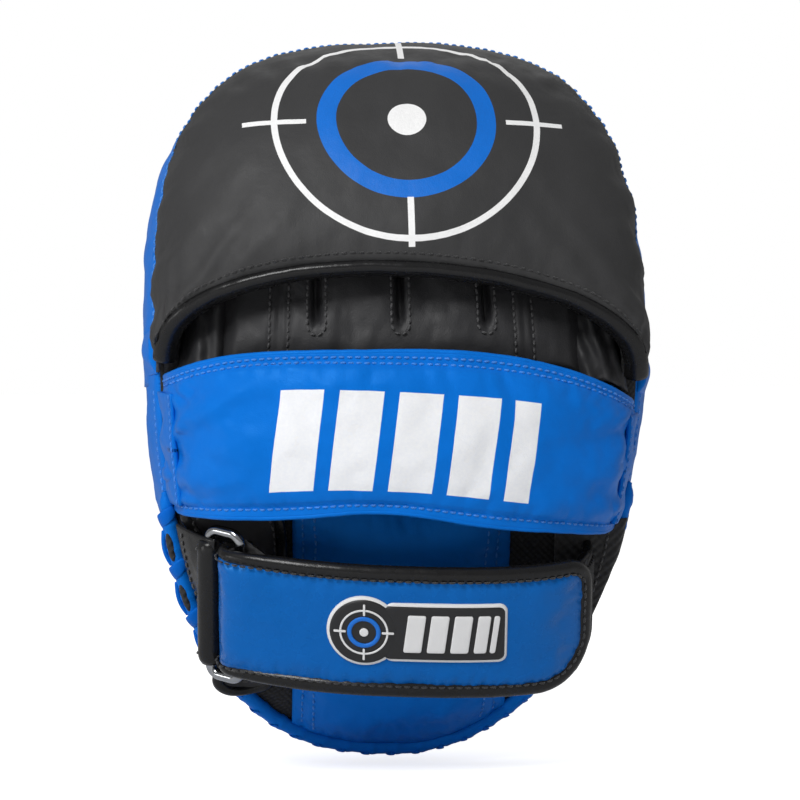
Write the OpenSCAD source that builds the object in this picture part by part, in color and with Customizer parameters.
// Focus mitt, left hand: a curved padded target worn on the hand.
// +Z points to the fingertips, -Y is the back-of-hand side and +Y the strike side.
// The thumb is on the +X side. Origin: middle of the palm surface of the pad. Millimetres.

/* [Pad] */
// half of the overall width of the pad
half_width = 95; // [85:1:105]
// reach of the pad along its curved mid surface above the palm
top_reach = 132.5; // [125:0.5:140]
// reach of the pad along its curved mid surface below the palm
bottom_reach = 136; // [130:0.5:142]
// place along the pad at which it is widest
widest_at = 22; // [18:1:28]
// bending radius of the pad mid surface
bend_radius = 210; // [190:5:260]
// sideways cup radius of the pad
cup_radius = 900; // [700:50:2000]
// total thickness of the padded target
pad_thickness = 42; // [38:1:48]

/* [Hood] */
// height of the finger hood over the palm surface at its rim
hood_height = 40; // [39:1:44]
// height of the two rim ends of the hood
hood_end_height = 12; // [11:0.5:16]

/* [Knuckle band] */
// height of the band over the palm surface
band_height = 43; // [40:1:46]

/* [Wrist strap] */
// width of the webbing
strap_width = 51; // [46:1:51]
// place of the strap along the pad
strap_at = -65; // [-67:1:-64]
// height of the strap arch over the palm surface
arch_height = 40; // [38:1:44]
// diameter of the ring wire
wire_d = 4; // [3:0.5:4]
// radial play between the strap fold and the ring wire
fold_play = 1.5; // [1.2:0.1:1.6]

/* [Hidden] */

black = [0.1, 0.1, 0.11];
blue = [0.02, 0.36, 0.78];
grey = [0.25, 0.25, 0.27];
foam_colour = [0.85, 0.83, 0.75];
steel = [0.75, 0.76, 0.78];

// radius of the palm surface about the bend axis
palm_radius = bend_radius + pad_thickness / 2;
// superellipse powers of the outline; a lower power tapers more
upper_power = 2.95;
lower_power = 2.4;
lower_thumb_power = 2.0;
// depth at which the pad side stands out most, and its insets at the two surfaces
bulge_depth = 0.45 * pad_thickness;
palm_inset = 5;
strike_inset = 3.5;
// depths of hood and band layers under their outer surface
cover_depths = [0, 1.5];
foam_depths = [1.7, 7];
lining_depths = [7.2, 8.2];

// ---- shape functions ----
function signed_pow(value, power) = sign(value) * pow(abs(value), power);
function blend(from, to, part) = from * (1 - part) + to * part;
// a place across (x), along the pad and over the palm surface (height < 0 is inside the pad)
function place(x, along, height) =
  let (radius = palm_radius + height, angle = along / bend_radius * 180 / PI)
  [x, palm_radius - radius * cos(angle) + x * x / (2 * cup_radius), radius * sin(angle)];

function outline_power(upper, side) =
  upper ? upper_power : (side > 0 ? lower_thumb_power : lower_power);
// reach of the outline from its widest place
function outline_reach(upper) = upper ? top_reach - widest_at : bottom_reach + widest_at;
// other coordinate of a unit superellipse
function superellipse(part, power) = pow(1 - pow(min(1, part), power), 1 / power);
// pad outline as (across, along) at an angle, moved in by inset
function outline(angle, inset) = let (
    across = cos(angle), up = sin(angle),
    power = outline_power(up >= 0, across),
    radius = pow(pow(abs(across), power) + pow(abs(up), power), -1 / power))
  [(half_width - inset) * across * radius,
   widest_at + (outline_reach(up >= 0) - inset) * up * radius];
// half width of the outline at a place along it
function outline_half_width(along, inset, side) = let (
    upper = along >= widest_at,
    part = abs(along - widest_at) / (outline_reach(upper) - inset))
  (half_width - inset) * superellipse(part, outline_power(upper, side));
// lower end of the outline at a place across it
function outline_bottom(x, inset) = widest_at - (outline_reach(false) - inset)
  * superellipse(abs(x) / (half_width - inset), outline_power(false, x));
// inset of the pad side at a depth, which makes the side bulge
function bulge(depth) = depth < bulge_depth
  ? palm_inset * pow(1 - depth / bulge_depth, 2)
  : strike_inset * pow((depth - bulge_depth) / (pad_thickness - bulge_depth), 2);

// ---- skins; each grid is a list of rows of points ----
function flat(rows) = [for (row = rows) each row];
// two triangles that share the diagonal from the first to the third corner
function quad(c1, c2, c3, c4) = [[c1, c2, c3], [c1, c3, c4]];

// closed skin between two grids of the same size
module sheet(first, second) {
  rows = len(first) - 1;
  cols = len(first[0]) - 1;
  function at(grid, i, j) = (grid * (rows + 1) + i) * (cols + 1) + j;
  polyhedron(flat(concat(first, second)), concat(
    [for (i = [0:rows - 1], j = [0:cols - 1]) each concat(
      quad(at(0, i, j), at(0, i + 1, j), at(0, i + 1, j + 1), at(0, i, j + 1)),
      quad(at(1, i, j), at(1, i, j + 1), at(1, i + 1, j + 1), at(1, i + 1, j)))],
    [for (i = [0:rows - 1]) each concat(
      quad(at(0, i, 0), at(1, i, 0), at(1, i + 1, 0), at(0, i + 1, 0)),
      quad(at(0, i, cols), at(0, i + 1, cols), at(1, i + 1, cols), at(1, i, cols)))],
    [for (j = [0:cols - 1]) each concat(
      quad(at(0, 0, j), at(0, 0, j + 1), at(1, 0, j + 1), at(1, 0, j)),
      quad(at(0, rows, j), at(1, rows, j), at(1, rows, j + 1), at(0, rows, j + 1)))]));
}

// closed skin between two round grids, each a row with only the centre, then rings outward
module round_sheet(top, bottom) {
  last = len(top) - 2;
  sides = len(top[1]);
  count = 1 + (last + 1) * sides;
  function at(grid, k, a) = grid * count + 1 + k * sides + a % sides;
  polyhedron(flat(concat(top, bottom)), concat(
    [for (a = [0:sides - 1]) each concat(
      [[0, at(0, 0, a + 1), at(0, 0, a)], [count, at(1, 0, a), at(1, 0, a + 1)]],
      quad(at(0, last, a), at(0, last, a + 1), at(1, last, a + 1), at(1, last, a)))],
    [for (k = [0:last - 1], a = [0:sides - 1]) each concat(
      quad(at(0, k, a), at(0, k, a + 1), at(0, k + 1, a + 1), at(0, k + 1, a)),
      quad(at(1, k, a), at(1, k + 1, a), at(1, k + 1, a + 1), at(1, k, a + 1)))]));
}

// tube through closed sections, ended by a fan about the mean point of each end section
module tube(sections) {
  sides = len(sections[0]);
  last = len(sections) - 1;
  count = (last + 1) * sides;
  function at(i, j) = i * sides + j % sides;
  function mean(section) = [for (point = section) 1] * section / sides;
  polyhedron(concat(flat(sections), [mean(sections[0]), mean(sections[last])]), concat(
    [for (i = [0:last - 1], j = [0:sides - 1])
      each quad(at(i, j), at(i + 1, j), at(i + 1, j + 1), at(i, j + 1))],
    [for (j = [0:sides - 1]) each [
      [count, at(0, j), at(0, j + 1)],
      [count + 1, at(last, j + 1), at(last, j)]]]));
}

// ---- pad ----
face_thickness = 1.8;
panel_thickness = 1.6;
core_top = -12;
core_bottom = -29;
core_inset = 4;
foam_gap = 0.2;
foam_back_top = -1.9;
foam_back_inset = bulge(1.8) + 3;
foam_front_end_inset = 7;
face_foam_gap = 0.4;
disc_sides = 40;
// ring sizes as parts of the outline; only the outermost ring takes the inset
disc_rings = [0.34, 0.64, 0.88, 1];

function disc_grid(height, inset) = concat([[place(0, widest_at, height)]],
  [for (part = disc_rings) [for (a = [0:disc_sides - 1])
    let (edge = outline(360 * a / disc_sides, part == 1 ? inset : 0))
    place(part * edge.x, widest_at + part * (edge.y - widest_at), height)]]);
module disc(top, top_inset, bottom, bottom_inset) {
  round_sheet(disc_grid(top, top_inset), disc_grid(bottom, bottom_inset));
}
module back_panel() {
  color(black) disc(0, bulge(0), -panel_thickness, bulge(panel_thickness));
}
module foam_back() {
  color(foam_colour) disc(foam_back_top, foam_back_inset, core_top + foam_gap, foam_back_inset);
}
module foam_core() {
  color(foam_colour) disc(core_top, core_inset, core_bottom, core_inset);
}
module foam_front() {
  color(foam_colour) disc(core_bottom - foam_gap, core_inset,
    face_thickness + face_foam_gap - pad_thickness, foam_front_end_inset);
}
module face_cover() {
  color(black) disc(face_thickness - pad_thickness, bulge(pad_thickness - face_thickness),
    -pad_thickness, bulge(pad_thickness));
}

// side wall; the upper piece and the hood span the same outline angles
upper_start = -5;
upper_end = 185;
seam_angle = 0.3;
gusset_thickness = 1.6;
gusset_margin = 2.3;
module gusset(start, end, steps) {
  function grid(inset) = [for (i = [0:steps]) [for (k = [0:4]) let (
      depth = gusset_margin + (pad_thickness - 2 * gusset_margin) * k / 4,
      edge = outline(start + (end - start) * i / steps, bulge(depth) + inset))
    place(edge.x, edge.y, -depth)]];
  sheet(grid(0), grid(gusset_thickness));
}
module gusset_upper() {
  color(blue) gusset(upper_start, upper_end, 26);
}
module gusset_lower() {
  color(blue) gusset(upper_end + seam_angle, 360 + upper_start - seam_angle, 24);
}

// round cord along the lower edge, with a lace wound about it
cord_start = 212;
cord_end = 328;
cord_radius = 2;
cord_height = 4.4;
cord_inset = 4.6;
lace_turns = 18;
lace_turn_steps = 9;
lace_radius = 2.95;
lace_half_thickness = 0.75;
lace_half_angle = 0.62;
lace_end_angle = 1.5;
// place about the cord line at an outline angle, turned round the cord
function about_cord(angle, turn, radius) =
  let (edge = outline(angle, cord_inset - radius * cos(turn)))
  place(edge.x, edge.y, cord_height + radius * sin(turn));
module edge_binding() {
  color(blue) tube([for (i = [0:30]) let (angle = cord_start + (cord_end - cord_start) * i / 30)
    [for (j = [0:7]) about_cord(angle, -j * 45, cord_radius)]]);
}
module edge_lacing() {
  steps = lace_turns * lace_turn_steps;
  start = cord_start + lace_end_angle;
  span = cord_end - cord_start - 2 * lace_end_angle;
  color(blue) tube([for (i = [0:steps]) [for (corner = [45:90:315])
    about_cord(start + span * i / steps + lace_half_angle * sin(corner),
      360 * i / lace_turn_steps, lace_radius + lace_half_thickness * cos(corner))]]);
}

// ---- hood over the fingers; sweep runs 0 to 1 from the +X end to the -X end ----
hood_rim_half = half_width - 5;
hood_foot_inset = 4.8;
hood_foot_height = 0.5;
// parts of the way from the foot on the pad edge to the rim
hood_stations = [0, 0.03, 0.1, 0.22, 0.4, 0.65, 1];
function half_wave(sweep, power) = pow(max(0, sin(180 * sweep)), power);
function rim_height(sweep) =
  hood_end_height + (hood_height - hood_end_height) * half_wave(sweep, 0.7);
function rim_along(sweep) = 10 - 3.5 * cos(180 * sweep) + 28 * half_wave(sweep, 0.8);
// place of the rim across, with its half width made smaller by depth
function rim_across(sweep, depth) =
  hood_rim_half * cos(180 * sweep) * (1 - depth / hood_rim_half);
function hood_place(sweep, part, depth) =
  let (foot = outline(blend(upper_start, upper_end, sweep), hood_foot_inset + depth))
  place(blend(foot.x, rim_across(sweep, depth), part),
    blend(foot.y, rim_along(sweep), part),
    hood_foot_height
      + (rim_height(sweep) - depth) * pow(max(0, 1 - pow(1 - part, 2)), 0.55));
module hood_layer(depths) {
  function grid(depth) =
    [for (i = [0:24]) [for (part = hood_stations) hood_place(i / 24, part, depth)]];
  sheet(grid(depths[1]), grid(depths[0]));
}
module hood_cover() { color(black) hood_layer(cover_depths); }
module hood_foam() { color(foam_colour) hood_layer(foam_depths); }
module hood_lining() { color(grey) hood_layer(lining_depths); }

// oval bead round the hood rim: radii, and centre offsets from the rim
bead_radius = 4.4;
bead_along_radius = 2.9;
bead_inset = 4.1;
bead_back = 4;
bead_drop = 3.7;
module hood_binding() {
  color(black) tube([for (i = [0:28]) let (sweep = 0.015 + 0.97 * i / 28)
    [for (j = [8:-1:1]) let (out = bead_radius * sin(45 * j))
      place(rim_across(sweep, bead_inset) + out * cos(180 * sweep),
        rim_along(sweep) - bead_back + bead_along_radius * cos(45 * j),
        rim_height(sweep) - bead_drop + out * half_wave(sweep, 0.5))]]);
}

// ---- stalls for fingers and thumb ----
stall_wall = 1.3;
stall_base = 2;
stall_pitch = 31;
// half width of the row of four
stalls_half = 2 * stall_pitch;
stalls_half_built = stalls_half - 0.1;
stalls_tip = 80;
// the stalls get lower from here to the tip
stalls_fall_from = 14;
stalls_narrowing = 0.12;
// half-round profile repeated at the stall pitch
function lobe(x) = let (count = (x + stalls_half) / stall_pitch, part = count - floor(count))
  sqrt(max(0, 1 - pow(2 * part - 1, 2)));
function stall_height(x, along) = stall_base
  + (19.5 - 3.5 * pow(x / stalls_half, 2)) * lobe(x)
  * (1 - 0.45 * pow(max(0, (along - stalls_fall_from) / (stalls_tip - stalls_fall_from)), 1.5));
module finger_stalls() {
  function grid(depth) = [for (i = [0:32]) let (x = stalls_half_built * (2 * i / 32 - 1))
    [for (part = [0, 0.3, 0.65, 1]) let (along = blend(16 + 6 * lobe(x), stalls_tip, part))
      place(x * (1 - stalls_narrowing * part), along, stall_height(x, along) - depth)]];
  color(grey) sheet(grid(stall_wall), grid(0));
}
module thumb_stall() {
  start_x = 66;
  width = 15;
  start_along = 4;
  length = 20;
  rise = 9;
  shift = 1.5; // towards -X at each row
  function grid(depth) = [for (i = [0:10]) [for (j = [0:3])
    place(start_x + width * i / 10 - shift * j, start_along + length * j / 3,
      stall_base + rise * sin(18 * i) - depth)]];
  color(grey) sheet(grid(stall_wall), grid(0));
}

// low dome on the palm surface
module palm_ball() {
  half_across = 24;
  half_along = 20;
  centre_along = -6;
  base = 0.2;
  edge_thickness = 1;
  crown = 11;
  sides = 24;
  function dome(radius, angle, raised) = place(
    half_across * radius * cos(angle), centre_along + half_along * radius * sin(angle),
    base + raised * (edge_thickness + crown * (1 - radius * radius)));
  function grid(raised) = concat([[dome(0, 0, raised)]],
    [for (k = [0:5]) [for (a = [0:sides - 1]) dome(0.02 + 0.98 * k / 5, 360 * a / sides, raised)]]);
  color(black) round_sheet(grid(1), grid(0));
}

// ---- band over the knuckles ----
band_half = 88;
band_power = 0.85;
band_base = 0.4;
band_outline_inset = 5.5;
band_side_gap = 0.6;
function band_part(x) = min(1, abs(x) / band_half);
function band_top(x) = 11.5 - 0.05 * x - 10.5 * pow(band_part(x), 4);
function band_bottom(x) = -34 - 0.045 * x - 6 * pow(band_part(x), 2);
function band_place(angle, part, depth, trim) = let (
    across = signed_pow(cos(angle), band_power),
    x = band_half * across,
    bottom = band_bottom(x) + trim,
    along = bottom + (band_top(x) - trim - bottom) * part,
    half = outline_half_width(along, band_outline_inset, across) - band_side_gap - depth)
  place(half * across, along,
    band_base + (band_height - depth) * pow(max(0, sin(angle)), band_power));
// trim shortens the layer at its upper and lower edges
module band_layer(depths, trim = 0) {
  function grid(depth) =
    [for (i = [0:24]) [for (j = [0:4]) band_place(180 * i / 24, j / 4, depth, trim)]];
  sheet(grid(depths[0]), grid(depths[1]));
}
module band_cover() { color(blue) band_layer(cover_depths); }
module band_foam() { color(foam_colour) band_layer(foam_depths, 0.8); }
module band_lining() { color(grey) band_layer(lining_depths); }

// ---- raised pad under the wrist; u is -1 to 1 across, v is 0 to 1 downwards ----
wrist_half = 41;
wrist_top = -30;
wrist_outline_inset = 9.5;
wrist_base = 0.3;
wrist_edge_height = 1.6;
wrist_crown = 8.4;
function wrist_height(u, v) =
  wrist_edge_height + wrist_crown * (1 - pow(abs(u), 4)) * (1 - pow(abs(2 * v - 1), 6));
// grid on the dome (dome = 1) or flat (dome = 0), raised by lift
function wrist_grid(u_end, v_start, rows, cols, dome, lift) =
  [for (i = [0:rows]) [for (j = [0:cols]) let (
      u = u_end * (2 * i / rows - 1),
      v = v_start + (1 - 2 * v_start) * j / cols,
      x = wrist_half * u)
    place(x, blend(wrist_top, outline_bottom(x, wrist_outline_inset), v),
      wrist_base + dome * wrist_height(u, v) + lift)]];
module wrist_pad_cover() {
  color(blue) sheet(wrist_grid(1, 0, 12, 10, 1, 0), wrist_grid(1, 0, 12, 10, 1, -1.3));
}
module wrist_pad_foam() {
  color(foam_colour)
    sheet(wrist_grid(0.86, 0.06, 8, 8, 1, -2.6), wrist_grid(0.86, 0.06, 8, 8, 0, 0.1));
}

// ---- strap frame: origin on the palm surface, x across, y along the pad, z outward ----
strap_half = strap_width / 2;
strap_angle = strap_at / bend_radius * 180 / PI;
arch_half = 73.5;
arch_power = 2.6;
bar_angle = 142.3; // arch angle of the ring bar that the flap folds round
fold_radius = wire_d / 2 + fold_play;
// distance between the two long bars of the ring, and its lean
ring_width = 13.4;
ring_lean = 36;
// the gap from the arch line grows to the fold radius from this angle to the bar
lay_gap = 1.3;
spread_from = 118;

module at_strap() {
  translate(place(0, strap_at, 0)) rotate([90 - strap_angle, 0, 0]) children();
}
// extrude an (x, z) profile to both sides along y
module along_strap(half) {
  rotate([90, 0, 0]) translate([0, 0, -half]) linear_extrude(2 * half) children();
}
// middle line of the arch as (x, z); the angle runs from 0 at +X to 180 at -X
function arch(angle) = let (x = arch_half * signed_pow(cos(angle), 2 / arch_power))
  [x, arch_height * signed_pow(sin(angle), 2 / arch_power)
    - x * x / (2 * cup_radius) * cos(strap_angle)];
function arch_normal(angle) = let (tangent = arch(angle + 0.4) - arch(angle - 0.4))
  [tangent[1], -tangent[0]] / norm(tangent);
function smooth(value) = let (part = min(1, max(0, value))) part * part * (3 - 2 * part);
function gap(angle) = lay_gap
  + (fold_radius - lay_gap) * smooth((angle - spread_from) / (bar_angle - spread_from));
bar = arch(bar_angle);
bar_normal = arch_normal(bar_angle);
tab_bar = bar - ring_width * [cos(ring_lean), sin(ring_lean)];

// slab along the arch; side is 1 outside and -1 inside the middle line,
// spread is 1 to add the gap to both offsets and 0 to leave it out
module arch_slab(start, end, steps, near, far, half, side = 1, spread = 1) {
  function line(offset, order) = [for (i = order) let (angle = start + (end - start) * i / steps)
    arch(angle) + arch_normal(angle) * side * (spread * gap(angle) + offset)];
  along_strap(half) polygon(concat(line(far, [0:steps]), line(near, [steps:-1:0])));
}
// half turn of the flap around the ring wire
module fold(near, far) {
  translate([bar[0], 0, bar[1]]) rotate([90, 0, 0]) translate([0, 0, -strap_half])
    rotate([0, 0, atan2(bar_normal[1], bar_normal[0])]) rotate_extrude(angle = 180, $fn = 48)
    translate([fold_radius + near, 0]) square([far - near, strap_width]);
}

// ---- strap flap ----
flap_start = 33;
flap_end_x = 70.5;
flap_upper_corner = 11;
flap_lower_corner = 22;
layer_inset = 2.6;
// flap outline seen from outside, moved in by inset, with a rounded free end at +X
module flap_outline(inset) {
  end = flap_end_x - inset;
  half = strap_half - inset;
  upper = flap_upper_corner - inset;
  lower = flap_lower_corner - inset;
  polygon(concat([[-90, -half]],
    [for (a = [-90:15:0]) [end - lower + lower * cos(a), -half + lower + lower * sin(a)]],
    [for (a = [0:15:90]) [end - upper + upper * cos(a), half - upper + upper * sin(a)]],
    [[-90, half]]));
}
module flap_cut(inset) {
  translate([0, 0, -20]) linear_extrude(90) flap_outline(inset);
}
module flap_layer(near, far, inset) {
  intersection() {
    union() {
      arch_slab(flap_start, bar_angle + 0.4, 34, near, far, strap_half);
      fold(near, far);
    }
    flap_cut(inset);
  }
}
module flap_lining() { color(black) at_strap() flap_layer(0, 1, layer_inset); }
module flap_foam() { color(foam_colour) at_strap() flap_layer(1.1, 3.1, 2.8); }
module flap_cover() { color(blue) at_strap() flap_layer(3.2, 4.4, layer_inset); }
module flap_binding() {
  color(black) at_strap() difference() {
    flap_layer(0, 4.8, 0);
    flap_cut(2.4);
  }
}
module flap_hook_patch() {
  color(grey) at_strap() arch_slab(34, 84, 16, 0.05, 1.2, strap_half - 4, spread = 0);
}
// round badge with a bar towards +X
module flap_badge() {
  color(black) at_strap() intersection() {
    arch_slab(52, 114, 30, 4.5, 6, 16);
    union() {
      translate([-14, -1, -10]) cylinder(r = 13, h = 80, $fn = 64);
      translate([-8, -12, -10]) linear_extrude(80)
        polygon([[0, 0], [44, 0], [46, 2], [46, 20], [44, 22], [0, 22]]);
    }
  }
}

// ---- strap leg, ring and ring tab ----
// block that notches the lower edge of a strap foot
module foot_notch(x) {
  translate([x, -30, -10]) cube([40, 36, 16.5]);
}
module strap_leg() {
  color(black) at_strap() difference() {
    arch_slab(1.5, 131, 34, 0.05, 2.4, strap_half, side = -1);
    foot_notch(50);
    translate([60, 15, -10]) cube([40, 20, 27]);
  }
}
module strap_loop_patch() {
  color(grey) at_strap()
    arch_slab(12, 112, 26, 0.05, 1.25, strap_half - 3, side = -1, spread = 0);
}
module strap_ring() {
  radius = wire_d / 2;
  corner = 4;
  end_y = strap_half + 1.2 + radius;
  bend_y = end_y - corner;
  color(steel) at_strap()
    translate([bar[0], 0, bar[1]]) rotate([0, 180 - ring_lean, 0]) {
      for (x = [0, ring_width])
        translate([x, -bend_y, 0]) rotate([-90, 0, 0])
          cylinder(r = radius, h = 2 * bend_y, $fn = 32);
      for (side = [-1, 1])
        translate([corner, side * end_y, 0]) rotate([0, 90, 0])
          cylinder(r = radius, h = ring_width - 2 * corner, $fn = 32);
      // corner bends as (x, turn)
      for (side = [0, 1], bend = [[corner, 90], [ring_width - corner, 0]])
        mirror([0, side, 0]) translate([bend[0], bend_y, 0]) rotate([0, 0, bend[1]])
          rotate_extrude(angle = 90, $fn = 32)
          translate([corner, 0]) circle(r = radius, $fn = 24);
    }
}
module ring_tab() {
  color(black) at_strap() difference() {
    along_strap(strap_half - 1) difference() {
      union() {
        translate(tab_bar) circle(r = wire_d / 2 + 1.8, $fn = 48);
        polygon([tab_bar + [-2.9, -0.7], tab_bar + [2.9, -0.7],
          [-68, 6], [-66.4, -1.6], [-69.4, -1.8], [-70.6, 6]]);
      }
      translate(tab_bar) circle(r = wire_d / 2 + 0.05, $fn = 48);
    }
    foot_notch(-90);
  }
}

face_cover();
foam_front();
foam_core();
foam_back();
back_panel();
gusset_upper();
gusset_lower();
edge_binding();
edge_lacing();
hood_cover();
hood_foam();
hood_lining();
hood_binding();
finger_stalls();
thumb_stall();
palm_ball();
band_cover();
band_foam();
band_lining();
wrist_pad_cover();
wrist_pad_foam();
strap_leg();
strap_loop_patch();
ring_tab();
strap_ring();
flap_cover();
flap_foam();
flap_lining();
flap_binding();
flap_hook_patch();
flap_badge();
